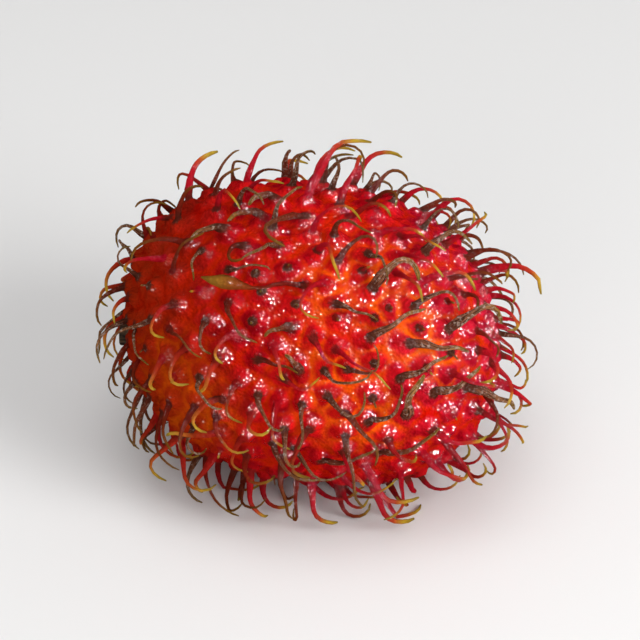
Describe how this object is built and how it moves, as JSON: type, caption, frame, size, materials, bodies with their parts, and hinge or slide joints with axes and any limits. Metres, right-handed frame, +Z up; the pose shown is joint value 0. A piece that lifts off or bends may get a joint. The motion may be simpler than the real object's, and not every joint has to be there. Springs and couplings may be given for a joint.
{
  "type": "rambutan",
  "caption": "Whole ripe rambutan: an egg-shaped tropical fruit with a bumpy red rind covered in soft hooked spines, lying on its side.",
  "frame": {"origin": "middle of the flat spot that the fruit rests on", "axes": "+Z up out of the flat spot through the fruit, +X along the fruit from the stalk end to the blossom end, +Y across it"},
  "size_m": [0.0564, 0.0512, 0.0433],
  "materials": {
    "rind": "gloss"
  },
  "bodies": {
    "root": {"rambutan": "rind"}
  },
  "joints": []
}
